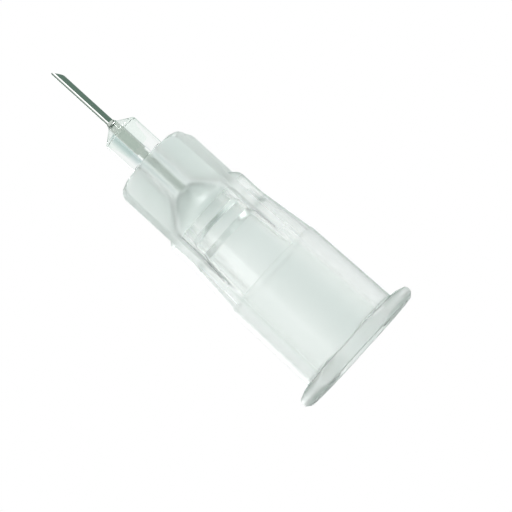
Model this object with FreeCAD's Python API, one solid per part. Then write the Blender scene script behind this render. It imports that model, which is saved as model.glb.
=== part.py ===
import FreeCAD, Part
import math
import os

# Mesotherapy needle: a short steel cannula glued into a moulded luer hub.
# It stands on the mouth of the hub. The origin is the centre of that mouth and +Z runs to the point.
# All sizes are in millimetres and all angles in degrees.

# Lock flange: a round plate with two flats, so that two lugs are left on +X and -X
lug_diameter = 7.81
across_flats = 6.20
flange_thickness = 0.76
lug_front_flank_width = 0.54
lug_front_flank_slope = 20.3
lug_foot_flank_width = 0.28
lug_foot_flank_slope = 35.5
lug_edge_round = 0.25
lug_corner_round = 0.22
flange_root_round = 0.20

# Barrel: the hollow, slightly tapered body round the socket
barrel_foot_diameter = 6.04
barrel_top_diameter = 5.84
barrel_height = 6.05

# Waist between the ribs, from the small step on the barrel to the shoulder
waist_step = 0.045
waist_diameter = 5.10
waist_start_height = 9.03
waist_round = 1.00
shoulder_height = 10.52
shoulder_round = 0.50
cone_half_angle = 48.0
cone_root_round = 0.30

# Nose that holds the cannula
nose_foot_diameter = 2.06
nose_front_diameter = 2.04
nose_front_height = 16.36
nose_edge_round = 0.15

# Ribs, whose front edge slopes up towards the axis
rib_count = 4
rib_first_angle = 45.0
rib_thickness = 0.51
rib_front_height = 14.51
rib_knee_radius = 2.00
rib_knee_drop = 0.27
rib_corner_drop = 0.58
rib_corner_round = 0.60
rib_knee_round = 0.60
rib_root_round = 0.25
rib_edge_round = 0.07

# Luer socket, open at the foot: a short parallel entry, then the 6 percent taper
entry_clearance = 0.02
entry_depth = 0.50
entry_chamfer = 0.10
taper_large_diameter = 4.28
taper_per_length = 0.06
socket_depth = 8.50

# Stepped chamber, funnel and fluid passage above the socket
chamber_foot_diameter = 3.20
chamber_draft = 1.5
chamber_shoulder = 0.40
chamber_height = 0.60
neck_foot_diameter = 2.60
neck_shoulder = 0.30
neck_height = 0.62
chamber_round = 0.12
funnel_height = 0.95
funnel_round = 0.25
passage_diameter = 0.28

# Cannula, 27 gauge, ground to a three-facet point
cannula_diameter = 0.40
cannula_bore = 0.21
cannula_rear_height = 11.84
cannula_exposed = 4.47
bevel_angle = 28.0
bevel_heading = 47.0
lancet_angle = 33.0
lancet_turn = 35.0
cannula_clearance = 0.01

# Glue well in the front of the nose and the bead of glue that fills it
well_depth = 1.30
well_floor_diameter = 0.90
well_floor_round = 0.09
well_flare_depth = 0.36
well_flare_foot_diameter = 1.10
well_mouth_diameter = 1.72
bead_height = 0.64
bead_knee_height = 0.44
bead_knee_radius = 0.29
bead_knee_round = 0.30

AXIS = FreeCAD.Vector(0, 0, 1)
CENTRE = FreeCAD.Vector(0, 0, 0)
BEYOND = 1.0  # how far a cutting shape reaches past what it cuts
UNDERCUT = 0.002  # how far the rib pockets go below the skin of the waist, which then covers them
TOUCHING = 0.0002  # what lies this close to a surface is on it
ROUNDED_SHARE = 0.49  # most of a side that the rounding at one of its ends takes


def rise(width, angle):
    """Height that a slope gains over a width."""
    return width * math.tan(math.radians(angle))


def rounded_outline(corners):
    """Face in the XZ plane with these corners, each (radius, height, rounding)."""
    points = [FreeCAD.Vector(radius, 0, height) for radius, height, _ in corners]
    turns = []
    for index, here in enumerate(points):
        rounding = corners[index][2]
        back = points[index - 1] - here
        ahead = points[(index + 1) % len(points)] - here
        half_angle = back.getAngle(ahead) / 2
        longest = ROUNDED_SHARE * min(back.Length, ahead.Length)
        reach = min(rounding / math.tan(half_angle), longest)
        arc_radius = reach * math.tan(half_angle)
        back.normalize()
        ahead.normalize()
        inward = (back + ahead).normalize() if rounding else AXIS
        middle = here + inward * (arc_radius / math.sin(half_angle) - arc_radius)
        turns.append((here + back * reach, middle, here + ahead * reach))
    edges = []
    for index, (start, middle, end) in enumerate(turns):
        if corners[index][2]:
            edges.append(Part.Arc(start, middle, end).toShape())
        edges.append(Part.LineSegment(end, turns[(index + 1) % len(turns)][0]).toShape())
    return Part.Face(Part.Wire(edges))


def turned(corners):
    """Solid of revolution about the axis from the corners of its half section."""
    return rounded_outline(corners).revolve(CENTRE, AXIS, 360)


def edges_along(solid, is_wanted):
    """Edges whose middle point passes the test."""
    found = []
    for edge in solid.Edges:
        middle = edge.valueAt((edge.FirstParameter + edge.LastParameter) / 2)
        if is_wanted(middle):
            found.append(edge)
    return found


def write(name, shape):
    shape.exportStep(os.path.join("parts", name + ".step"))


# Radii and heights that follow from the sizes above
lug_radius = lug_diameter / 2
barrel_foot_radius = barrel_foot_diameter / 2
barrel_top_radius = barrel_top_diameter / 2
waist_radius = waist_diameter / 2
nose_foot_radius = nose_foot_diameter / 2
nose_front_radius = nose_front_diameter / 2
cone_end_height = shoulder_height + rise(waist_radius - nose_foot_radius, 90 - cone_half_angle)
cannula_radius = cannula_diameter / 2
tip_height = nose_front_height + cannula_exposed
well_floor_height = nose_front_height - well_depth
well_corners = [
    (well_floor_diameter / 2, well_floor_height, well_floor_round),
    (well_flare_foot_diameter / 2, nose_front_height - well_flare_depth, 0),
    (well_mouth_diameter / 2, nose_front_height, 0),
]


def barrel():
    """Barrel with the lock flange at its foot, cut back to the two flats."""
    foot_flank_rise = rise(lug_foot_flank_width, lug_foot_flank_slope)
    front_flank_rise = rise(lug_front_flank_width, lug_front_flank_slope)
    body = turned([
        (0, 0, 0),
        (lug_radius - lug_foot_flank_width, 0, lug_edge_round),
        (lug_radius, foot_flank_rise, lug_edge_round),
        (lug_radius, flange_thickness - front_flank_rise, lug_edge_round),
        (lug_radius - lug_front_flank_width, flange_thickness, lug_edge_round),
        (barrel_foot_radius, flange_thickness, flange_root_round),
        (barrel_top_radius, barrel_height, 0),
        (0, barrel_height, 0),
    ])
    corner = FreeCAD.Vector(-lug_radius, -across_flats / 2, 0)
    flats = Part.makeBox(lug_diameter, across_flats, barrel_height, corner)
    plan = Part.makeCylinder(lug_radius, barrel_height).common(flats)
    corners = edges_along(plan, lambda p: 0 < p.z < barrel_height)
    return body.common(plan.makeFillet(lug_corner_round, corners))


def core():
    """Waist, shoulder, cone and nose, without the ribs."""
    return turned([
        (0, barrel_height, 0),
        (barrel_top_radius - waist_step, barrel_height, 0),
        (waist_radius, waist_start_height, waist_round),
        (waist_radius, shoulder_height, shoulder_round),
        (nose_foot_radius, cone_end_height, cone_root_round),
        (nose_front_radius, nose_front_height, nose_edge_round),
        (0, nose_front_height, 0),
    ])


def rib_pocket():
    """What is taken out between two neighbouring ribs, with both root fillets on it."""
    top = rib_front_height + BEYOND
    outside = barrel_top_radius + BEYOND
    ring = turned([
        (barrel_top_radius - waist_step - UNDERCUT, barrel_height, 0),
        (waist_radius - UNDERCUT, waist_start_height, waist_round),
        (waist_radius - UNDERCUT, shoulder_height, shoulder_round),
        (nose_foot_radius - UNDERCUT, cone_end_height, cone_root_round),
        (nose_front_radius - UNDERCUT, top, 0),
        (outside, top, 0),
        (outside, barrel_height, 0),
    ])
    half = rib_thickness / 2
    corner_block = Part.makeBox(outside, outside, top, FreeCAD.Vector(half, half, 0))
    pocket = ring.common(corner_block)
    roots = edges_along(
        pocket,
        lambda p: min(p.x, p.y) < half + UNDERCUT
        and math.hypot(p.x, p.y) < outside - UNDERCUT
        and barrel_height + UNDERCUT < p.z < top - UNDERCUT,
    )
    return pocket.makeFillet(rib_root_round, roots)


def ribs():
    """Cross of ribs: a turned block with the four pockets taken out and its edges softened."""
    block = turned([
        (0, barrel_height, 0),
        (barrel_top_radius, barrel_height, 0),
        (barrel_top_radius, rib_front_height - rib_corner_drop, rib_corner_round),
        (rib_knee_radius, rib_front_height - rib_knee_drop, rib_knee_round),
        (0, rib_front_height, 0),
    ])
    pocket = rib_pocket()
    skin = block.Shells[0]
    for index in range(rib_count):
        cutter = pocket.copy()
        cutter.rotate(CENTRE, AXIS, index * 360 / rib_count)
        block = block.cut(cutter)
    rims = edges_along(
        block,
        lambda p: min(abs(p.x), abs(p.y)) > rib_thickness / 2 - UNDERCUT
        and p.z > barrel_height + UNDERCUT
        and skin.distToShape(Part.Vertex(p))[0] < TOUCHING,
    )
    block = block.makeFillet(rib_edge_round, rims)
    block.rotate(CENTRE, AXIS, rib_first_angle)
    return block


def bore():
    """Everything hollow in the hub, from the mouth of the socket to the glue well."""
    entry_radius = taper_large_diameter / 2 + entry_clearance + taper_per_length * entry_depth / 2
    taper_end_radius = taper_large_diameter / 2 - taper_per_length * (socket_depth - entry_depth) / 2
    chamber_foot = socket_depth + chamber_shoulder
    chamber_top = chamber_foot + chamber_height
    neck_foot = chamber_top + neck_shoulder
    neck_top = neck_foot + neck_height
    seat_radius = cannula_radius + cannula_clearance
    chamber_radius = chamber_foot_diameter / 2
    neck_radius = neck_foot_diameter / 2
    return turned([
        (0, -BEYOND, 0),
        (entry_radius + entry_chamfer + BEYOND, -BEYOND, 0),
        (entry_radius, entry_chamfer, 0),
        (entry_radius, entry_depth, 0),
        (taper_large_diameter / 2, entry_depth, 0),
        (taper_end_radius, socket_depth, chamber_round),
        (chamber_radius, chamber_foot, chamber_round),
        (chamber_radius - rise(chamber_height, chamber_draft), chamber_top, chamber_round),
        (neck_radius, neck_foot, chamber_round),
        (neck_radius - rise(neck_height, chamber_draft), neck_top, funnel_round),
        (passage_diameter / 2, neck_top + funnel_height, 0),
        (passage_diameter / 2, cannula_rear_height, 0),
        (seat_radius, cannula_rear_height, 0),
        (seat_radius, well_floor_height, 0),
        *well_corners,
        (well_corners[-1][0], nose_front_height + BEYOND, 0),
        (0, nose_front_height + BEYOND, 0),
    ])


def hub():
    """The whole moulding: one piece of clear polypropylene."""
    body = barrel().fuse(core()).fuse(ribs()).removeSplitter()
    return body.cut(bore())


def ground_away(height, heading, angle):
    """Block that a grinding pass takes off, with its face through the point of the cannula."""
    direction = math.radians(heading)
    steepness = math.radians(angle)
    toward_heel = FreeCAD.Vector(math.cos(direction), math.sin(direction), 0)
    outward = toward_heel * math.cos(steepness) + AXIS * math.sin(steepness)
    bevel_direction = math.radians(bevel_heading)
    point = FreeCAD.Vector(math.cos(bevel_direction), math.sin(bevel_direction), 0) * -cannula_radius
    point.z = height
    size = 2 * cannula_exposed
    block = Part.makeBox(size, size, size, FreeCAD.Vector(-size / 2, -size / 2, 0))
    block.Placement = FreeCAD.Placement(point, FreeCAD.Rotation(AXIS, outward))
    return block


def cannula():
    """Steel tube with the long bevel and the two side facets of a lancet point."""
    length = tip_height - cannula_rear_height
    base = FreeCAD.Vector(0, 0, cannula_rear_height)
    tube = Part.makeCylinder(cannula_radius, length, base)
    tube = tube.cut(Part.makeCylinder(cannula_bore / 2, length, base))
    tube = tube.cut(ground_away(tip_height, bevel_heading, bevel_angle))
    for side in (-1, 1):
        tube = tube.cut(ground_away(tip_height, bevel_heading + side * lancet_turn, lancet_angle))
    return tube


def adhesive():
    """Cured glue: it fills the well round the cannula and runs up it in a low cone."""
    return turned([
        (cannula_radius, well_floor_height, 0),
        *well_corners,
        (bead_knee_radius, nose_front_height + bead_knee_height, bead_knee_round),
        (cannula_radius, nose_front_height + bead_height, 0),
    ])


os.makedirs("parts", exist_ok=True)
write("hub", hub())
write("cannula", cannula())
write("adhesive", adhesive())
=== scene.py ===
import math

import bpy
import numpy as np
from mathutils import Matrix, Vector


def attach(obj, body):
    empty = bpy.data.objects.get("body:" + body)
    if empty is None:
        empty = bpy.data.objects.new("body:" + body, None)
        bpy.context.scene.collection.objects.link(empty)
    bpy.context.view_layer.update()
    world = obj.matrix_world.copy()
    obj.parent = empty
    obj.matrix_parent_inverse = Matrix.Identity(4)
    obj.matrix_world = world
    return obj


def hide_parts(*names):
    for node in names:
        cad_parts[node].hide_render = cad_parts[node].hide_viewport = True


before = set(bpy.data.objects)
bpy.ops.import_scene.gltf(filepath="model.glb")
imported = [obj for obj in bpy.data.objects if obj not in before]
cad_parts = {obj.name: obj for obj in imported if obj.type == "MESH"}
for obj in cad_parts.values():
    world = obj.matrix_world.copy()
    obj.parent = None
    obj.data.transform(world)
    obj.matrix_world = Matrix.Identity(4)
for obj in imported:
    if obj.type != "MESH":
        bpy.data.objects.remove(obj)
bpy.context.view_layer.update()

MM = 0.001

# Hub: lock flange, barrel round the luer socket, waist, four ribs and nose, in one piece.
# It is injection moulded in natural polypropylene. The mould is spark eroded outside, which leaves the
# ribs and barrel satin, and polished round the nose and on the pin that leaves the socket.
LUG_RADIUS = 3.905
FLAT_REACH = 3.10  # from the axis to each of the flange's two flats
LUG_CORNER_ROUND = 0.22
LUG_FRONT_FLANK = (0.54, 0.1998)  # width and rise of the slope on the barrel's side of a lug
LUG_FOOT_FLANK = (0.28, 0.1997)
FLAT_EDGE_BREAK = 0.05
FLANGE_THICKNESS = 0.76
LUG_EDGE_ROUND = 0.25
FLANGE_ROOT_ROUND = 0.20
BARREL_FOOT_RADIUS = 3.02
BARREL_TOP_RADIUS = 2.92
BARREL_HEIGHT = 6.05
STEP_RUN = 0.03
WAIST_FOOT_RADIUS = 2.875
WAIST_RADIUS = 2.55
WAIST_HEIGHT = 9.03
WAIST_ROUND = 1.00
SHOULDER_HEIGHT = 10.52
SHOULDER_ROUND = 0.50
CONE_END_HEIGHT = 11.888
CONE_ROOT_ROUND = 0.30
NOSE_FOOT_RADIUS = 1.03
NOSE_RADIUS = 1.02
NOSE_HEIGHT = 16.36
NOSE_EDGE_ROUND = 0.15
RIB_HALF = 0.255
RIB_TURN = 45.0  # degrees from +X to the first rib
RIB_CORNER = (2.92, 13.93, 0.60)  # radius, height, rounding
RIB_KNEE = (2.00, 14.24, 0.60)
RIB_CREST_HEIGHT = 14.371  # where the front of a rib meets the nose
RIB_ROOT_ROUND = 0.25
RIB_EDGE_ROUND = 0.07
ENTRY_CHAMFER = 0.10
ENTRY_RADIUS = 2.175
ENTRY_DEPTH = 0.50
SEAT_RADIUS = 0.21
PASSAGE_RADIUS = 0.14
CANNULA_REAR = 11.84
WELL = [(0.45, 15.06, 0.08), (0.55, 16.00, 0.20), (0.86, NOSE_HEIGHT, 0)]
GLUED_RADIUS = 0.95  # the adhesive covers the nose's front up to here
FUNNEL_TERRACES = [  # radius, height, rows after it, from the passage down
    (PASSAGE_RADIUS, 11.33, 3), (0.46, 11.24, 2), (0.54, 11.06, 3),
    (0.78, 10.99, 2), (0.86, 10.80, 3), (1.12, 10.74, 3),
]
TERRACE_ROUND = 0.05
FUNNEL_FOOT = (1.22, 10.44, 0.10)  # radius, height, rounding
CHAMBER_STEPS = [(1.30, 9.80, 2), (1.584, 9.50, 3), (1.60, 8.90, 2), (1.90, 8.50, 10)]
CHAMBER_ROUND = 0.12
TAPER_MOUTH_RADIUS = 2.14
COLUMNS = 40  # in an eighth of a turn, from the middle of a rib to halfway to the next
RIM_ROWS = 30  # of foot_rows: the ring round the mouth, the lugs' flank on its side and their rim
FOOT_FLANK_ROWS = slice(6, 14)  # of foot_rows: that flank
TURN_START_ROW, TURN_ROWS = 30, 10  # of bore_rows: there the columns go back to the foot's angles
PASSAGE_END_ROW = 50  # of bore_rows
FULL_SATIN_HEIGHT = 10.3  # above this the core is as satin as the ribs
CHAMBER_SATIN_HEIGHT = 8.4
RIB_MILK_HEIGHT = 10.0
# Painted shade on the shoulder and cone between the ribs: heights, and how dark the tint is there.
CONE_SHADE_HEIGHTS, CONE_SHADE = (10.2, 10.4, 11.6, 12.0), (0, 0.7, 0.7, 0.30)


def rounded_line(corners):
    """Rows of points along an open line through corners.

    A corner is its radius, height, rounding, steps round it and steps after it. A radius or height may be
    an array with one value for each column, and so is each point that comes back.
    """
    width = max(np.size(value) for corner in corners for value in corner[:2])
    places = [np.array([np.broadcast_to(value, width) for value in corner[:2]], float) for corner in corners]
    rows, starts = [], []
    for index, here in enumerate(places):
        rounding, turn_steps = corners[index][2:4]
        if not rounding:
            rows.append([here])
            continue
        back, ahead = places[index - 1] - here, places[index + 1] - here
        back_length, ahead_length = np.hypot(*back), np.hypot(*ahead)
        back, ahead = back / back_length, ahead / ahead_length
        half = np.arccos(np.clip((back * ahead).sum(0), -1, 1)) / 2
        back_room, ahead_room = (0.46 if corners[beside][2] else 0.94 for beside in (index - 1, index + 1))
        room = np.minimum(back_room * back_length, ahead_room * ahead_length)
        reach = np.minimum(rounding / np.tan(half), room)
        inward = back + ahead
        centre = here + inward / np.hypot(*inward) * reach / np.cos(half)
        start, end = here + back * reach - centre, here + ahead * reach - centre
        sweep = math.pi - 2 * half
        shares = np.linspace(0, 1, turn_steps + 1)
        rows.append([
            centre + (np.sin((1 - t) * sweep) * start + np.sin(t * sweep) * end) / np.sin(sweep)
            for t in shares
        ])
    line = []
    for index, row in enumerate(rows):
        line += row
        if index + 1 < len(rows):
            steps = corners[index][4]
            line += [row[-1] + (rows[index + 1][0] - row[-1]) * n / steps for n in range(1, steps)]
    return np.array(line)  # row, radius or height, column


def outward_distance(radius, height, line):
    """Distance of points from a turned surface with this outline, above zero outside it."""
    here = np.stack([radius, height], -1)[..., None, :]
    starts, runs = line[:-1], np.diff(line, axis=0)
    share = np.clip(((here - starts) * runs).sum(-1) / (runs ** 2).sum(-1), 0, 1)
    gap = here - starts - share[..., None] * runs
    distance = np.sqrt((gap ** 2).sum(-1).min(-1))
    return np.where(radius > np.interp(height, line[:, 1], line[:, 0]), distance, -distance)


def solve_radius(outside, shape, low, high):
    """Radius between low and high where the function outside(radius) turns from negative to positive."""
    low, high = np.full(shape, low, float), np.full(shape, high, float)
    for _ in range(24):
        middle = (low + high) / 2
        out = outside(middle) > 0
        low, high = np.where(out, low, middle), np.where(out, middle, high)
    return (low + high) / 2


core_line = rounded_line([
    (WAIST_FOOT_RADIUS + 0.11, BARREL_HEIGHT - 1, 0, 0, 12),
    (WAIST_RADIUS, WAIST_HEIGHT, WAIST_ROUND, 16, 8),
    (WAIST_RADIUS, SHOULDER_HEIGHT, SHOULDER_ROUND, 24, 6),
    (NOSE_FOOT_RADIUS, CONE_END_HEIGHT, CONE_ROOT_ROUND, 16, 10),
    (NOSE_RADIUS, NOSE_HEIGHT, 0, 0, 0),
])[:, :, 0]
skin_rows = rounded_line([
    (BARREL_TOP_RADIUS, BARREL_HEIGHT, 0, 0, 1),
    (BARREL_TOP_RADIUS, BARREL_HEIGHT + 0.05, 0, 0, 66),
    (*RIB_CORNER, 12, 6),
    (*RIB_KNEE, 8, 12),
    (NOSE_RADIUS + 0.006, RIB_CREST_HEIGHT, 0, 0, 0),
])[:, :, 0]
skin_line = np.vstack([[BARREL_TOP_RADIUS, BARREL_HEIGHT - 1], skin_rows, [0, RIB_CREST_HEIGHT + 0.139]])


def pocket_distance(radius, angle, height):
    """Distance from the waist and the rib's flat side, with the fillet between them."""
    side = radius * np.sin(angle) - RIB_HALF
    core = outward_distance(radius, height, core_line)
    fillet = np.hypot(np.maximum(RIB_ROOT_ROUND - side, 0), np.maximum(RIB_ROOT_ROUND - core, 0))
    return np.maximum(RIB_ROOT_ROUND, np.minimum(side, core)) - fillet


def rib_distance(radius, angle, height):
    """Distance from the ribbed part, with the rims of the ribs softened."""
    pocket = pocket_distance(radius, angle, height)
    skin = outward_distance(radius, height, skin_line)
    rim = np.hypot(np.maximum(pocket + RIB_EDGE_ROUND, 0), np.maximum(skin + RIB_EDGE_ROUND, 0))
    return np.minimum(-RIB_EDGE_ROUND, np.maximum(pocket, skin)) + rim


# Each ring of the ribbed part has its points where the rib's rim, side, fillet and waist are
fine = np.linspace(0, math.pi / 4, 240)
rib_angles, rib_radii = [], []
for skin_radius, height in skin_rows:
    heights = np.full(fine.shape, height)
    sharp = solve_radius(lambda r: pocket_distance(r, fine, heights), fine.shape, 0.9, 3.3)
    sharp[: np.searchsorted(fine, math.asin(RIB_HALF / 3.3))] = 3.3
    outline = np.minimum(sharp, skin_radius)
    along = np.concatenate([[0], np.cumsum(np.hypot(np.diff(outline), outline[:-1] * np.diff(fine)))])
    rim = along[np.argmax(sharp < skin_radius)] if (sharp < skin_radius).any() else along[-1] / 2
    core_radius = np.interp(height, core_line[:, 1], core_line[:, 0])
    fillet_across = RIB_HALF + RIB_ROOT_ROUND
    fillet_out = math.sqrt((core_radius + RIB_ROOT_ROUND) ** 2 - fillet_across ** 2)
    fillet_foot = np.interp(math.atan(RIB_HALF / fillet_out), fine, along)
    fillet_end = np.interp(math.atan(fillet_across / fillet_out), fine, along)
    rim_start, rim_end = max(rim - RIB_EDGE_ROUND, 0.3 * rim), rim + RIB_EDGE_ROUND
    fillet_foot = max(fillet_foot, rim_end + 0.02)
    fillet_end = max(fillet_end, fillet_foot + 0.10)
    stations = [0, rim_start, rim_end, fillet_foot, fillet_end, along[-1]]
    steps = [4, 7, 7, 8, COLUMNS - 26]
    marks = [0]
    for start, end, count in zip(stations, stations[1:], steps):
        marks += list(start + (end - start) * np.arange(1, count + 1) / count)
    angles = np.interp(marks, along, fine)
    angles[0], angles[-1] = 0, math.pi / 4
    rib_angles.append(angles)
    low, high = core_radius - 0.05, skin_radius + 0.05
    level = np.full(angles.shape, height)
    rib_radii.append(solve_radius(lambda r: rib_distance(r, angles, level), angles.shape, low, high))
rib_angles, rib_radii = np.array(rib_angles), np.array(rib_radii)


def all_round(eighth, mirrored):
    """Repeats rows over an eighth of a turn all the way round. mirrored gives a mirrored value."""
    quarters = []
    for quarter in range(4):
        quarters += [eighth[:, :-1], mirrored(eighth)[:, :0:-1]]
    return np.hstack(quarters)


rib_turns = np.repeat(np.radians(RIB_TURN) + np.arange(4) * math.pi / 2, 2 * COLUMNS)
rib_angles = all_round(rib_angles, lambda a: math.pi / 2 - a) + rib_turns
rib_radii = all_round(rib_radii, lambda r: r)
around = rib_angles.shape[1]

# The flange is a plate with two flats: its reach in plan is the lug circle cut by them, with rounded corners
foot_angles = rib_angles[0]


def plan_distance(radius):
    circle, flat = radius - LUG_RADIUS, np.abs(radius * np.sin(foot_angles)) - FLAT_REACH
    corner = np.hypot(np.maximum(circle + LUG_CORNER_ROUND, 0), np.maximum(flat + LUG_CORNER_ROUND, 0))
    return np.minimum(-LUG_CORNER_ROUND, np.maximum(circle, flat)) + corner


reach = solve_radius(plan_distance, around, 2.5, 4.0)
flanks = []
for width, gain in (LUG_FOOT_FLANK, LUG_FRONT_FLANK):
    flank = np.clip(reach - (LUG_RADIUS - width), FLAT_EDGE_BREAK, width)
    flanks += [flank, np.maximum(flank * gain / width, FLAT_EDGE_BREAK)]
foot_flank, foot_rise, front_flank, front_rise = flanks
foot_rows = rounded_line([
    (ENTRY_RADIUS + ENTRY_CHAMFER, 0, 0, 0, 4),
    (reach - foot_flank, 0, LUG_EDGE_ROUND, 4, 4),
    (reach, foot_rise, LUG_EDGE_ROUND, 6, 3),
    (reach, FLANGE_THICKNESS - front_rise, LUG_EDGE_ROUND, 6, 4),
    (reach - front_flank, FLANGE_THICKNESS, LUG_EDGE_ROUND, 4, 3),
    (BARREL_FOOT_RADIUS, FLANGE_THICKNESS, FLANGE_ROOT_ROUND, 8, 16),
    (BARREL_TOP_RADIUS + 0.001, BARREL_HEIGHT - STEP_RUN - 0.05, 0, 0, 1),
    (BARREL_TOP_RADIUS, BARREL_HEIGHT - STEP_RUN, 0, 0, 0),
])
bore_rows = rounded_line([
    (NOSE_RADIUS, RIB_CREST_HEIGHT + 0.01, 0, 0, 8),
    (NOSE_RADIUS, NOSE_HEIGHT, NOSE_EDGE_ROUND, 8, 2),
    *[(*corner, 6, steps) for corner, steps in zip(WELL[::-1], (4, 4, 3))],
    (SEAT_RADIUS, WELL[0][1], 0, 0, 6),
    (SEAT_RADIUS, CANNULA_REAR, 0, 0, 1),
    (PASSAGE_RADIUS, CANNULA_REAR, 0, 0, 2),
    *[(radius, height, TERRACE_ROUND, 3, steps) for radius, height, steps in FUNNEL_TERRACES],
    (*FUNNEL_FOOT, 3, 3),
    *[(radius, height, CHAMBER_ROUND, 6, steps) for radius, height, steps in CHAMBER_STEPS],
    (TAPER_MOUTH_RADIUS, ENTRY_DEPTH, 0, 0, 1),
    (ENTRY_RADIUS, ENTRY_DEPTH, 0, 0, 1),
    (ENTRY_RADIUS, ENTRY_CHAMFER, 0, 0, 1),
    (ENTRY_RADIUS + ENTRY_CHAMFER / 2, ENTRY_CHAMFER / 2, 0, 0, 0),
])
bore_shift = np.clip((np.arange(len(bore_rows)) - TURN_START_ROW) / TURN_ROWS, 0, 1)[:, None]
bore_angles = rib_angles[-1] * (1 - bore_shift) + foot_angles * bore_shift
blocks = [
    (np.tile(foot_angles, (len(foot_rows), 1)), foot_rows[:, 0], foot_rows[:, 1]),
    (rib_angles, rib_radii, np.tile(skin_rows[:, 1:], around)),
    (bore_angles, np.tile(bore_rows[:, 0], around), np.tile(bore_rows[:, 1], around)),
]
hub_angles, hub_radii, hub_heights = (np.vstack(parts) for parts in zip(*blocks))


def grid_mesh(name, points):
    """Mesh object over rows of points in millimetres. Each row is a ring, and the last joins the first."""
    row_count, ring = points.shape[:2]
    above = np.arange(row_count)[:, None]
    column = np.arange(ring)[None]
    beside = (column + 1) % ring
    over = (above + 1) % row_count
    corners = [(above, column), (above, beside), (over, beside), (over, column)]
    faces = np.stack([row * ring + place for row, place in corners], -1)
    mesh = bpy.data.meshes.new(name)
    mesh.from_pydata((points.reshape(-1, 3) * MM).tolist(), [], faces.reshape(-1, 4).tolist())
    mesh.validate()
    mesh.shade_smooth()
    mesh.set_sharp_from_angle(angle=math.radians(38))
    piece = bpy.data.objects.new(name, mesh)
    bpy.context.scene.collection.objects.link(piece)
    weighted = piece.modifiers.new("WeightedNormals", "WEIGHTED_NORMAL")
    weighted.keep_sharp = True
    return piece


hub_points = np.stack([hub_radii * np.cos(hub_angles), hub_radii * np.sin(hub_angles), hub_heights], -1)
hub = grid_mesh("hub_moulding", hub_points)

# How satin each place is, and how hazy and shaded its tint is, from 0 to 1, was fitted to the photograph and
# isn't a measured property. The haze is the plastic's own, and the shade is painted into the tint in some
# places.
rib_end = len(foot_rows) + len(rib_radii)
rib_rows = slice(len(foot_rows), rib_end)
skin_heights = skin_rows[:, 1:]
core_under_ribs = np.interp(skin_rows[:, 1], core_line[:, 1], core_line[:, 0])[:, None]
on_rib = np.clip((rib_radii - core_under_ribs) / 0.25, 0, 1)
satin, haze_and_shade, bonded = (np.zeros(hub_radii.shape) for _ in range(3))
satin[: len(foot_rows)] = 0.6
satin[:RIM_ROWS] = 1
satin[rib_rows] = 0.45 + 0.45 * np.maximum(on_rib, skin_heights > FULL_SATIN_HEIGHT)
inside = hub_heights[rib_end + PASSAGE_END_ROW :]
socket_satin = np.where(inside > CHAMBER_SATIN_HEIGHT, 0.45, 0.12)
satin[rib_end + PASSAGE_END_ROW :] = np.where(inside > FULL_SATIN_HEIGHT, 0.6, socket_satin)
bonded[rib_end:] = (hub_heights[rib_end:] > WELL[0][1] - 0.001) & (hub_radii[rib_end:] < GLUED_RADIUS)
haze_and_shade[: len(foot_rows)] = 0.40
haze_and_shade[:RIM_ROWS] = 0.3
# Painted shade: the lugs' flank on the mouth's side gets the darkest tint.
haze_and_shade[FOOT_FLANK_ROWS] = 1
haze_and_shade[rib_rows] = 0.32 + 0.03 * on_rib * (skin_heights > RIB_MILK_HEIGHT)
# Painted shade: extra dark tint on the shoulder and cone between the ribs.
haze_and_shade[rib_rows] += (1 - on_rib) * np.interp(skin_heights, CONE_SHADE_HEIGHTS, CONE_SHADE)
# Painted shade: a darker ring tinted along the top edge of the barrel, at its step.
haze_and_shade[len(foot_rows) - 1] = 1
for name, values in (("spark_eroded", satin), ("haze_and_shade", haze_and_shade), ("bonded", bonded)):
    hub.data.attributes.new(name, "FLOAT", "POINT").data.foreach_set("value", values.ravel())


def linear(hex_colour):
    """Linear RGBA from an sRGB hex colour."""
    parts = [int(hex_colour[i : i + 2], 16) / 255 for i in (1, 3, 5)]
    return [p / 12.92 if p <= 0.04045 else ((p + 0.055) / 1.055) ** 2.4 for p in parts] + [1]


def add(tree, kind, inputs=None, **settings):
    """Adds a node with its settings. inputs gives numbers, colours or sockets to link, by input name."""
    node = tree.nodes.new(kind)
    for name, value in settings.items():
        setattr(node, name, value)
    for name, value in (inputs or {}).items():
        if isinstance(value, bpy.types.NodeSocket):
            tree.links.new(value, node.inputs[name])
        else:
            node.inputs[name].default_value = value
    return node


def new_material(name):
    """Material with an empty node tree and its output."""
    material = bpy.data.materials.new(name)
    material.use_nodes = True
    material.node_tree.nodes.clear()
    return material, material.node_tree


# Natural polypropylene, injection moulded: clear with a faint white haze and a green cast, satin where the
# mould was spark eroded. Its index is 1.49 in air, and 1 where the adhesive wets it, so that no edge shows
# there. Painted shade darkens its tint in places.
polypropylene, tree = new_material("polypropylene_moulded")
eroded = add(tree, "ShaderNodeAttribute", attribute_name="spark_eroded").outputs["Fac"]
place = add(tree, "ShaderNodeTexCoord").outputs["Object"]
flow = add(tree, "ShaderNodeTexNoise", {"Vector": place, "Scale": 420.0, "Detail": 3.0, "Roughness": 0.55})
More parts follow.
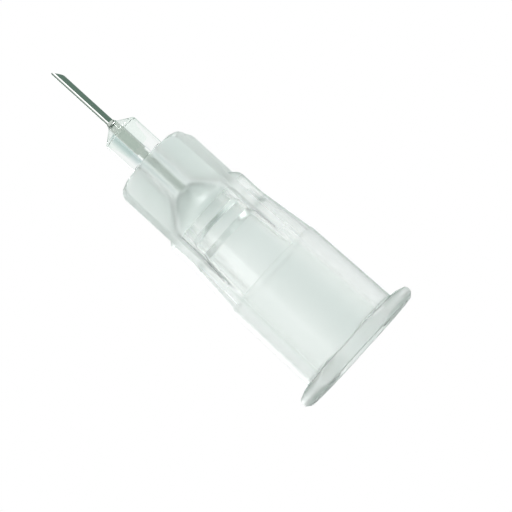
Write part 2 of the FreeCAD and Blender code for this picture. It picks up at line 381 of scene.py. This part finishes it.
# The plastic's haze, with painted shade added in places: the tint darkens as this value rises.
haze_and_shade_fac = add(tree, "ShaderNodeAttribute", attribute_name="haze_and_shade").outputs["Fac"]
roughness = add(tree, "ShaderNodeMapRange", {"Value": eroded, "To Min": 0.02, "To Max": 0.38})
grain = add(tree, "ShaderNodeTexNoise", {"Vector": place, "Scale": 9000.0, "Detail": 2.0})
grain_height = add(tree, "ShaderNodeMath", {0: grain.outputs["Fac"], 1: eroded}, operation="MULTIPLY")
satin_bump = add(tree, "ShaderNodeBump", {
    "Height": grain_height.outputs[0], "Strength": 0.05, "Distance": 0.00003,
})
clearness = add(tree, "ShaderNodeMapRange", {"Value": eroded, "To Min": 1.0, "To Max": 0.84})
flow_part = add(tree, "ShaderNodeMath", {0: flow.outputs["Fac"], 1: 0.10}, operation="MULTIPLY")
haze_and_shade_part = add(tree, "ShaderNodeMath", {0: haze_and_shade_fac, 1: 0.5}, operation="MULTIPLY")
tint_amount = add(tree, "ShaderNodeMath", {0: haze_and_shade_part.outputs[0], 1: flow_part.outputs[0]}, operation="ADD")
tint = add(tree, "ShaderNodeValToRGB", {"Fac": tint_amount.outputs[0]})
tint.color_ramp.elements[0].color = linear("#FCFEFD")
tint.color_ramp.elements[1].color = linear("#CBDBD5")
glued = add(tree, "ShaderNodeAttribute", attribute_name="bonded").outputs["Fac"]
bending = add(tree, "ShaderNodeMapRange", {
    "Value": glued, "From Min": 0.49, "From Max": 0.51, "To Min": 1.49, "To Max": 1.0,
})
body = add(tree, "ShaderNodeBsdfPrincipled", {
    "Base Color": tint.outputs["Color"],
    "Roughness": roughness.outputs["Result"],
    "IOR": bending.outputs["Result"],
    "Transmission Weight": clearness.outputs["Result"],
    "Normal": satin_bump.outputs["Normal"],
})
add(tree, "ShaderNodeOutputMaterial", {"Surface": body.outputs["BSDF"]})
hub.data.materials.append(polypropylene)
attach(hub, "root")
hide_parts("hub")

# Cannula: a 27 gauge tube of stainless steel with a lancet point, pushed into the nose from the front.
# It is drawn, cut, ground on three planes and electropolished, so it is bright along its length.
CANNULA_RADIUS = 0.20
LUMEN_RADIUS = 0.105
TIP_HEIGHT = 20.83
BEVEL_HEADING = 47.0
GRINDS = [(0, 28.0), (-35.0, 33.0), (35.0, 33.0)]  # turn from the bevel's heading, angle to the axis
cannula_angles = np.linspace(0, 2 * math.pi, 96, endpoint=False)
point_x, point_y = (-CANNULA_RADIUS * f(math.radians(BEVEL_HEADING)) for f in (math.cos, math.sin))


def ground_height(x, y):
    """Height of the ground point over a place in plan: the lowest of the three grinding planes."""
    heights = []
    for turn, angle in GRINDS:
        heading = math.radians(BEVEL_HEADING + turn)
        run = (x - point_x) * math.cos(heading) + (y - point_y) * math.sin(heading)
        heights.append(TIP_HEIGHT - run / math.tan(math.radians(angle)))
    return np.minimum.reduce(heights)


cannula_rings = []
wall = np.linspace(LUMEN_RADIUS, CANNULA_RADIUS, 7)
for radius, share in [(CANNULA_RADIUS, s) for s in np.linspace(0, 1, 24)] + [(r, 1) for r in wall[-2::-1]] + [
    (LUMEN_RADIUS, s) for s in np.linspace(1, 0, 12)[1:]
]:
    x, y = radius * np.cos(cannula_angles), radius * np.sin(cannula_angles)
    top = ground_height(x, y)
    cannula_rings.append(np.stack([x, y, CANNULA_REAR + share * (top - CANNULA_REAR)], -1))
cannula = grid_mesh("cannula_tube", np.array(cannula_rings))
steel, tree = new_material("stainless_steel_electropolished")
place = add(tree, "ShaderNodeTexCoord").outputs["Object"]
drawn = add(tree, "ShaderNodeMapping", {"Vector": place, "Scale": (1.0, 1.0, 0.02)})
lines = add(tree, "ShaderNodeTexNoise", {"Vector": drawn.outputs["Vector"], "Scale": 16000.0, "Detail": 2.0})
steel_roughness = add(tree, "ShaderNodeMapRange", {
    "Value": lines.outputs["Fac"], "To Min": 0.08, "To Max": 0.14,
})
steel_bump = add(tree, "ShaderNodeBump", {
    "Height": lines.outputs["Fac"], "Strength": 0.03, "Distance": 0.000004,
})
metal = add(tree, "ShaderNodeBsdfPrincipled", {
    "Base Color": linear("#C9CCC8"),
    "Metallic": 1.0,
    "Roughness": steel_roughness.outputs["Result"],
    "Normal": steel_bump.outputs["Normal"],
})
add(tree, "ShaderNodeOutputMaterial", {"Surface": metal.outputs["BSDF"]})
cannula.data.materials.append(steel)
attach(cannula, "root")
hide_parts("cannula")

# Adhesive: the clear bead that holds the cannula. It is dripped into the well and cured by light,
# and it creeps a little way up the steel before it sets, so its surface is smooth and glossy.
GLUE_REACH = 0.004  # it goes this far into its neighbours, so that no air shows between them
BEAD_KNEE = (0.29, NOSE_HEIGHT + 0.44)
BEAD_HEIGHT = NOSE_HEIGHT + 0.64
glue_angles = np.linspace(0, 2 * math.pi, 96, endpoint=False)
glue_rows = rounded_line([
    (CANNULA_RADIUS - GLUE_REACH, WELL[0][1] - GLUE_REACH, 0, 0, 3),
    (WELL[0][0] + GLUE_REACH, WELL[0][1] - GLUE_REACH, 0.08, 6, 4),
    (WELL[1][0] + GLUE_REACH, WELL[1][1], 0.20, 6, 4),
    (WELL[2][0] + GLUE_REACH, NOSE_HEIGHT - 0.05, 0, 0, 3),
    (GLUED_RADIUS, NOSE_HEIGHT - 0.035, 0, 0, 10),
    (*BEAD_KNEE, 0.30, 12, 6),
    (CANNULA_RADIUS + 0.002, BEAD_HEIGHT, 0, 0, 2),
    (CANNULA_RADIUS - GLUE_REACH, BEAD_HEIGHT - 0.01, 0, 0, 12),
    (CANNULA_RADIUS - GLUE_REACH, WELL[0][1] + 0.1, 0, 0, 0),
])[:, :, 0]
glue_points = np.stack([
    glue_rows[:, :1] * np.cos(glue_angles),
    glue_rows[:, :1] * np.sin(glue_angles),
    np.tile(glue_rows[:, 1:], len(glue_angles)),
], -1)
bead = grid_mesh("adhesive_bead", glue_points)
wetting = np.tile(glue_rows[:, 1:] < NOSE_HEIGHT - 0.04, len(glue_angles)).astype(float)
bead.data.attributes.new("bonded", "FLOAT", "POINT").data.foreach_set("value", wetting.ravel())
glue, tree = new_material("acrylate_adhesive_cured")
place = add(tree, "ShaderNodeTexCoord").outputs["Object"]
ripple = add(tree, "ShaderNodeTexNoise", {"Vector": place, "Scale": 1800.0, "Detail": 1.0})
glue_bump = add(tree, "ShaderNodeBump", {
    "Height": ripple.outputs["Fac"], "Strength": 0.1, "Distance": 0.00002,
})
glued = add(tree, "ShaderNodeAttribute", attribute_name="bonded").outputs["Fac"]
bending = add(tree, "ShaderNodeMapRange", {
    "Value": glued, "From Min": 0.49, "From Max": 0.51, "To Min": 1.49, "To Max": 1.0,
})
cured = add(tree, "ShaderNodeBsdfPrincipled", {
    "Base Color": linear("#FAFDFB"),
    "Roughness": 0.08,
    "IOR": bending.outputs["Result"],
    "Transmission Weight": 1.0,
    "Normal": glue_bump.outputs["Normal"],
})
add(tree, "ShaderNodeOutputMaterial", {"Surface": cured.outputs["BSDF"]})
bead.data.materials.append(glue)
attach(bead, "root")
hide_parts("adhesive")

# Stage: a plain pale table that can't be seen from below, so that the hub's foot shows as in the photograph
FLOOR_HALF = 0.4  # metres
FLOOR_DROP = 0.00002  # metres below the hub's foot
floor_corners = [(x * FLOOR_HALF, y * FLOOR_HALF, -FLOOR_DROP) for x, y in ((-1, -1), (1, -1), (1, 1), (-1, 1))]
floor_mesh = bpy.data.meshes.new("floor")
floor_mesh.from_pydata(floor_corners, [], [(0, 1, 2, 3)])
floor = bpy.data.objects.new("floor", floor_mesh)
bpy.context.scene.collection.objects.link(floor)
table, tree = new_material("table_matt_white")
behind = add(tree, "ShaderNodeNewGeometry").outputs["Backfacing"]
matt = add(tree, "ShaderNodeBsdfPrincipled", {"Base Color": linear("#EDEDED"), "Roughness": 0.9})
clear = add(tree, "ShaderNodeBsdfTransparent")
seen = add(tree, "ShaderNodeMixShader", {0: behind, 1: matt.outputs["BSDF"], 2: clear.outputs["BSDF"]})
add(tree, "ShaderNodeOutputMaterial", {"Surface": seen.outputs["Shader"]})
floor.data.materials.append(table)

# Camera: a long lens, a little below the hub's foot, with the needle pointing up to the left
VIEW_AZIMUTH, VIEW_ELEVATION, VIEW_ROLL = (math.radians(a) for a in (3.3, -4.05, 47.69))
VIEW_DISTANCE = 200.0
VIEW_AIM = Vector((-0.0165, 0, 7.08))
VIEW_WIDTH = 25.47  # millimetres that the picture spans at the hub
SENSOR = 36.0
ahead = Vector((
    -math.sin(VIEW_AZIMUTH) * math.cos(VIEW_ELEVATION),
    math.cos(VIEW_AZIMUTH) * math.cos(VIEW_ELEVATION),
    -math.sin(VIEW_ELEVATION),
))
axis_up = (Vector((0, 0, 1)) - ahead * ahead.z).normalized()
axis_right = ahead.cross(axis_up)
up = axis_up * math.cos(VIEW_ROLL) + axis_right * math.sin(VIEW_ROLL)
right = ahead.cross(up)
lens = bpy.data.cameras.new("camera")
lens.sensor_width = SENSOR
lens.lens = SENSOR * VIEW_DISTANCE / VIEW_WIDTH
lens.clip_start, lens.clip_end = 0.001, 10
camera = bpy.data.objects.new("camera", lens)
bpy.context.scene.collection.objects.link(camera)


def aim(thing, place, at):
    """Puts a camera or lamp at a place in millimetres, looking at a point, with the picture's up."""
    forward = (at - place).normalized()
    side = forward.cross(up).normalized()
    above = side.cross(forward)
    thing.matrix_world = Matrix((
        (side.x, above.x, -forward.x, place.x * MM),
        (side.y, above.y, -forward.y, place.y * MM),
        (side.z, above.z, -forward.z, place.z * MM),
        (0, 0, 0, 1),
    ))


aim(camera, VIEW_AIM - ahead * VIEW_DISTANCE, VIEW_AIM)
bpy.context.scene.camera = camera

# Cards: glowing grey-green cards that the camera and matt surfaces don't see, placed from the camera's
# direction and fitted to the photograph. They are painted reflections: those bent round the hub paint the dark
# lines in the gloss. A sheet behind the hub, with one smooth fade across it, is painted shade seen through the
# plastic and darkens its middle. Heights are from the picture's middle.
CARD_HALF_LENGTH = 220.0
CARD_RADIUS = 150.0
NEEDLE_CARD_FOOT = 16.8
FRONT_CARD_FOOT = 12.5
TIP_CARD_HALF = 100.0
SHEET_BEHIND = 8.0
SHEET_PLACES = np.linspace(-12, 8, 41)
SHEET_MIDDLE = 1.4  # where across the hub the sheet is darkest
SHEET_FADE = 3.4  # how far from there it ends in white
SHEET_ROWS = [(-30.0, 0.28), (4.4, 0.28), (7.6, 0.9), (30.0, 0.9)]  # height, darkest shade


def around_hub(start, end, low=-CARD_HALF_LENGTH, high=CARD_HALF_LENGTH):
    """Two rows of points round the hub's axis, at angles in degrees from the camera to the upper right."""
    turns = np.radians(np.linspace(start, end, 31))
    outs = [(axis_right * math.sin(turn) - ahead * math.cos(turn)) * CARD_RADIUS for turn in turns]
    return [[out + axis_up * height for out in outs] for height in (low, high)]


# Painted shade: the sheet's fade darkens the middle of the plastic where the sheet is seen through it.
sheet_rows = [[axis_right * place + ahead * SHEET_BEHIND + axis_up * height for place in SHEET_PLACES]
              for height, _ in SHEET_ROWS]
across = 0.5 + 0.5 * np.cos(math.pi * np.clip(np.abs(SHEET_PLACES - SHEET_MIDDLE) / SHEET_FADE, 0, 1))
sheet_shades = np.outer([darkest for _, darkest in SHEET_ROWS], across).ravel()
tip_rows = [[axis_right * x + ahead * y + axis_up * CARD_RADIUS for x in (-TIP_CARD_HALF, TIP_CARD_HALF)]
            for y in (-TIP_CARD_HALF, TIP_CARD_HALF)]
CARDS = [  # name, rows of points, colour, seen by gloss, seen through the plastic
    ("front_card", around_hub(-28, 110, low=FRONT_CARD_FOOT), "#7C968A", True, False),
    ("edge_card", around_hub(148, 200, high=NEEDLE_CARD_FOOT), "#A8BBB2", True, False),
    ("needle_card", around_hub(110, 200, low=NEEDLE_CARD_FOOT), "#7C968A", True, False),
    ("low_card", around_hub(225, 275, low=FRONT_CARD_FOOT), "#7C968A", True, False),
    ("hub_front_card", around_hub(-60, 75, high=FRONT_CARD_FOOT), "#8FA59A", True, False),
    ("hub_low_card", around_hub(225, 270, high=FRONT_CARD_FOOT), "#A8BBB2", True, False),
    ("pale_card", around_hub(-200, 110), "#EEF5F1", False, True),
    ("tip_card", tip_rows, "#7C968A", True, True),
    ("painted_shade_sheet", sheet_rows, "#ADC1C0", False, True),
]
# Each card glows with its colour and is seen only in gloss or through the plastic: painted reflections, and
# painted shade behind the hub.
for name, rows, colour, glossy, through in CARDS:
    count = len(rows[0])
    card_mesh = bpy.data.meshes.new(name)
    points = [(VIEW_AIM + point) * MM for row in rows for point in row]
    card_mesh.from_pydata(points, [], [
        (start + n, start + n + 1, start + count + n + 1, start + count + n)
        for start in range(0, count * (len(rows) - 1), count) for n in range(count - 1)
    ])
    shades = sheet_shades if name == "painted_shade_sheet" else np.ones(len(points))
    card_mesh.attributes.new("shade", "FLOAT", "POINT").data.foreach_set("value", shades)
    card = bpy.data.objects.new(name, card_mesh)
    bpy.context.scene.collection.objects.link(card)
    painted_card_material, tree = new_material(name + "_painted_reflection_and_shade")
    shade = add(tree, "ShaderNodeAttribute", attribute_name="shade").outputs["Fac"]
    grade = add(tree, "ShaderNodeValToRGB", {"Fac": shade})
    grade.color_ramp.elements[0].color = (1, 1, 1, 1)
    grade.color_ramp.elements[1].color = linear(colour)
    glow = add(tree, "ShaderNodeEmission", {"Color": grade.outputs["Color"], "Strength": 1.0})
    add(tree, "ShaderNodeOutputMaterial", {"Surface": glow.outputs["Emission"]})
    card_mesh.materials.append(painted_card_material)
    card.visible_camera = card.visible_diffuse = card.visible_shadow = False
    card.visible_glossy, card.visible_transmission = glossy, through

# Light: a small lamp beyond the point and one low behind give glints, a wide fill and two large lamps on either
# side of the hub light it softly, and so does an even pale room. All are placed from the camera's direction.
LAMPS = [  # name, direction as right, up and back in the picture, distance, size, watts, seen through the
    # plastic, seen by gloss, lights matt surfaces
    ("tip_softbox", (-0.50, 0.82, -0.28), 130, 45, 0.17, True, True, False),
    ("low_softbox", (-0.3365, -0.37, -0.866), 140, 60, 0.020, False, True, True),
    ("fill_softbox", (-0.7, -0.1, 0.6), 400, 260, 0.5, True, True, True),
    ("upper_softbox", (0.673, 0.740, 0.0), 300, 200, 0.9, False, False, True),
    ("under_softbox", (-0.673, -0.740, 0.0), 300, 200, 0.8, False, False, True),
]
for name, (to_right, to_up, to_back), distance, size, watts, through, glossy, matt_lit in LAMPS:
    lamp = bpy.data.lights.new(name, "AREA")
    lamp.shape = "SQUARE"
    lamp.size = size * MM
    lamp.energy = watts
    holder = bpy.data.objects.new(name, lamp)
    bpy.context.scene.collection.objects.link(holder)
    away = (right * to_right + up * to_up - ahead * to_back).normalized()
    aim(holder, VIEW_AIM + away * distance, VIEW_AIM)
    holder.visible_transmission, holder.visible_glossy, holder.visible_diffuse = through, glossy, matt_lit

world = bpy.data.worlds.new("studio")
bpy.context.scene.world = world
world.use_nodes = True
tree = world.node_tree
tree.nodes.clear()
path = add(tree, "ShaderNodeLightPath")
rays = path.outputs
seen = add(tree, "ShaderNodeMath", {0: rays["Is Camera Ray"], 1: rays["Is Glossy Ray"]}, operation="MAXIMUM")
seen = add(tree, "ShaderNodeMath", {0: seen.outputs[0], 1: rays["Is Transmission Ray"]}, operation="MAXIMUM")
room = add(tree, "ShaderNodeBackground", {"Color": linear("#F6F9F7"), "Strength": 1.0})
white = add(tree, "ShaderNodeBackground", {"Color": (1, 1, 1, 1), "Strength": 1.0})
around_all = add(tree, "ShaderNodeMixShader", {0: seen.outputs[0], 1: room.outputs[0], 2: white.outputs[0]})
add(tree, "ShaderNodeOutputWorld", {"Surface": around_all.outputs["Shader"]})

bpy.context.scene.view_settings.view_transform = "Standard"
bpy.context.scene.cycles.max_bounces = 28
bpy.context.scene.cycles.transmission_bounces = 24
bpy.context.scene.cycles.glossy_bounces = 8
bpy.context.view_layer.update()
